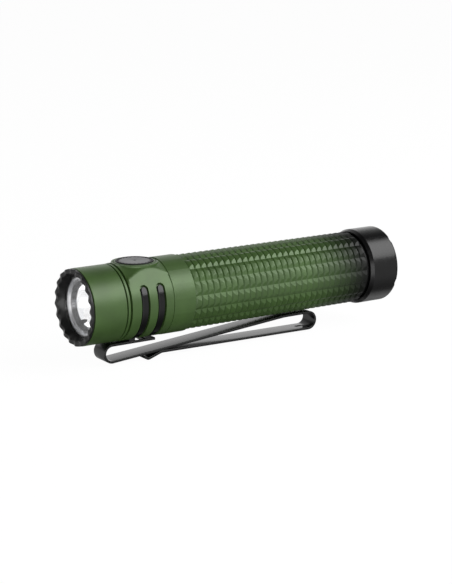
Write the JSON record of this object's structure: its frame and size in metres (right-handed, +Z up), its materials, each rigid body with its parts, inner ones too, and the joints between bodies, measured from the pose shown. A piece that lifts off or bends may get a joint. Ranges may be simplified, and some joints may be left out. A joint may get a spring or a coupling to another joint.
{
  "type": "tactical flashlight",
  "caption": "Round metal handheld flashlight with a scalloped bezel, top side switch, ringed grip, screw-on tail switch cap and a two-way spring pocket clip",
  "frame": {"origin": "middle of the underside, level with the lowest point of the pocket clip's lip", "axes": "+X along the light's axis from bezel to tail, +Z up through the side switch, beam towards -X"},
  "size_m": [0.1174, 0.0252, 0.0321],
  "materials": {
    "anodised_green": "bead-blasted and anodised olive green, fading to black at the tail of the tube",
    "anodised_black": "bead-blasted and hard-anodised black",
    "clip_steel": "black coated spring steel",
    "button_steel": "satin",
    "black_rubber": "moulded silicone, matt",
    "clear_glass": "coated mineral glass",
    "clear_optic": "polished clear optic",
    "black_plastic": "moulded",
    "led_yellow": "phosphor under a clear dome",
    "copper": "bare copper",
    "circuit_board": "solder mask over laminate",
    "brass": "turned",
    "gold_plate": "gold plated",
    "steel": "plated",
    "cell_wrap": "can under a heat-shrink wrap",
    "white_paper": "fibre washer",
    "red_wire": "silicone insulated",
    "black_wire": "silicone insulated"
  },
  "bodies": {
    "light": {"bezel_ring": "anodised_black", "lens_gasket": "black_rubber", "lens_glass": "clear_glass", "collimator_optic": "clear_optic", "optic_holder": "black_plastic", "led_emitter": "led_yellow", "led_board": "copper", "led_board_screw_1": "steel", "led_board_screw_2": "steel", "led_wire_positive": "red_wire", "led_wire_negative": "black_wire", "head_housing": "anodised_green", "head_joint_ring": "black_rubber", "button_boot": "black_rubber", "button_carrier": "black_plastic", "side_tact_switch": "steel", "side_switch_board": "circuit_board", "driver_board": "circuit_board", "driver_retaining_ring": "brass", "head_contact_spring": "gold_plate", "body_tube": "anodised_green", "tail_joint_ring": "black_rubber", "pocket_clip_base": "clip_steel"},
    "side_button": {"side_button": "button_steel"},
    "cell": {"battery_cell": "cell_wrap", "battery_top_insulator": "white_paper", "battery_positive_button": "steel"},
    "tail_cap": {"tail_cap": "anodised_black", "tail_retaining_ring": "brass", "tail_switch_board": "circuit_board", "tail_tact_switch": "steel", "tail_contact_spring": "gold_plate", "tail_boot": "black_rubber"},
    "tail_button": {"tail_button": "black_plastic", "tail_button_trim": "button_steel", "tail_insulator": "black_rubber", "tail_charge_contact": "gold_plate"},
    "clip_inner_arm": {"pocket_clip_inner_arm": "clip_steel"},
    "clip_outer_arm": {"pocket_clip_outer_arm": "clip_steel"}
  },
  "joints": [
    {"name": "side_button_press", "type": "slide", "parent": "light", "child": "side_button", "axis": [0, 0, -1], "range_m": [0, 0.0005], "stiffness_N_per_m": 3000, "springref_m": -0.0004},
    {"name": "tail_cap_advance", "type": "slide", "parent": "light", "child": "cell", "axis": [1, 0, 0], "range_m": [0, 0.003], "deforming": ["head_contact_spring"]},
    {"name": "tail_cap_turn", "type": "hinge", "parent": "cell", "child": "tail_cap", "pos_m": [0.0473, 0, 0.01951], "axis": [1, 0, 0], "range_deg": [0, 1080]},
    {"name": "tail_button_press", "type": "slide", "parent": "tail_cap", "child": "tail_button", "axis": [-1, 0, 0], "range_m": [0, 0.0012], "stiffness_N_per_m": 2500, "springref_m": -0.0006},
    {"name": "clip_inner_flex", "type": "hinge", "parent": "light", "child": "clip_inner_arm", "pos_m": [-0.0495, 0, 0.00391], "axis": [0, 1, 0], "range_deg": [0, 3], "stiffness_Nm_per_rad": 12, "springref_deg": -1.15},
    {"name": "clip_outer_flex", "type": "hinge", "parent": "clip_inner_arm", "child": "clip_outer_arm", "pos_m": [0.03095, 0, 0.00405], "axis": [0, -1, 0], "range_deg": [0, 5], "stiffness_Nm_per_rad": 8, "springref_deg": -1.15}
  ],
  "couplings": [
    {"joint": "tail_cap_turn", "follows": "tail_cap_advance", "rad_per_m": 6283.2}
  ]
}
